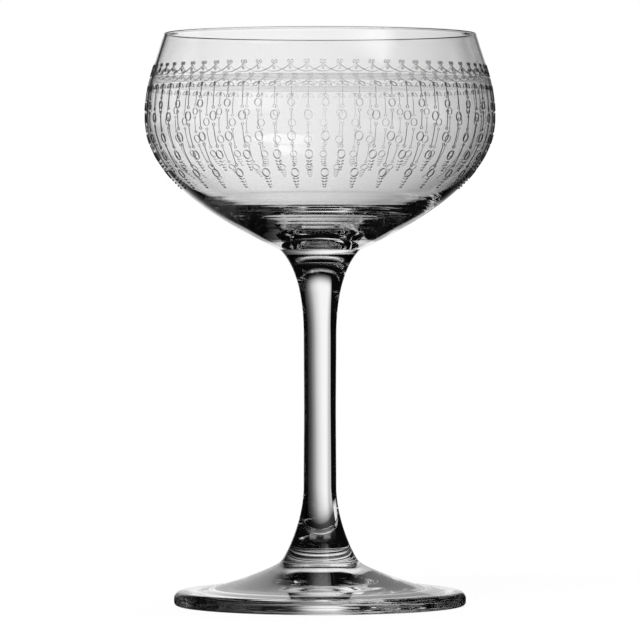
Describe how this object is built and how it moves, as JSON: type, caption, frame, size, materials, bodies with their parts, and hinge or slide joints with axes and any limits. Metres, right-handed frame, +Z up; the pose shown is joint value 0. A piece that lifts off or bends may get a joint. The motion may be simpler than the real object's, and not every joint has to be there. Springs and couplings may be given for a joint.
{
  "type": "champagne coupe",
  "caption": "Clear stemmed coupe glass with a wide shallow bowl drawn in at the rim, a slim solid stem and a round foot.",
  "frame": {"origin": "middle of the foot's resting plane, under the axis of the stem", "axes": "+Z up along the stem, the axis that every piece is turned about"},
  "size_m": [0.0916, 0.0916, 0.15],
  "materials": {
    "clear_glass": "clear, fire polished",
    "etched_glass": "fine etched lines, matt"
  },
  "bodies": {
    "root": {"bowl": "clear_glass", "stem": "clear_glass", "foot": "clear_glass"}
  },
  "joints": []
}
